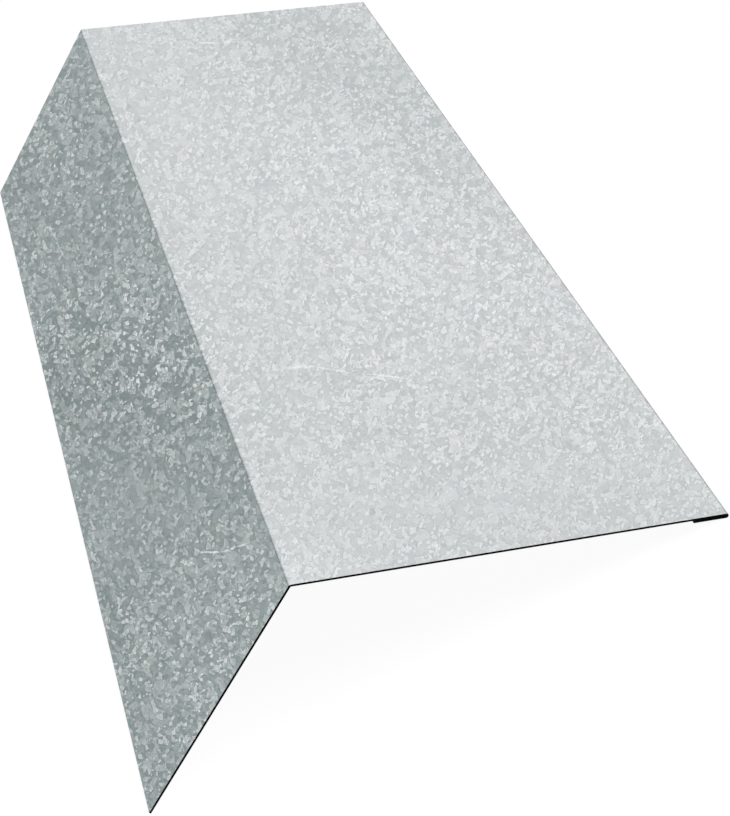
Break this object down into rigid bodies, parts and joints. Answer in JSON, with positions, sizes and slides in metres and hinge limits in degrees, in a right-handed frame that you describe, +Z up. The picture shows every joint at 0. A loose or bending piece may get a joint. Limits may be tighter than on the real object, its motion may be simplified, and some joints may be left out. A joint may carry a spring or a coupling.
{
  "type": "eaves flashing",
  "caption": "Folded galvanised steel flashing: a wide hemmed flange lies on the roof deck at the eaves and a plain leg turns down over the fascia.",
  "frame": {"origin": "middle of the footprint, on the ground that the leg's cut edge and the hem's rounded edge rest on", "axes": "+Y along the fold, +X across the flange towards the hem, +Z up"},
  "size_m": [0.2176, 0.475, 0.0604],
  "materials": {
    "galvanised_steel": "hot-dip galvanised with a small spangle, matt to satin, sheared edges dark"
  },
  "bodies": {
    "root": {"eaves_flashing": "galvanised_steel"}
  },
  "joints": []
}
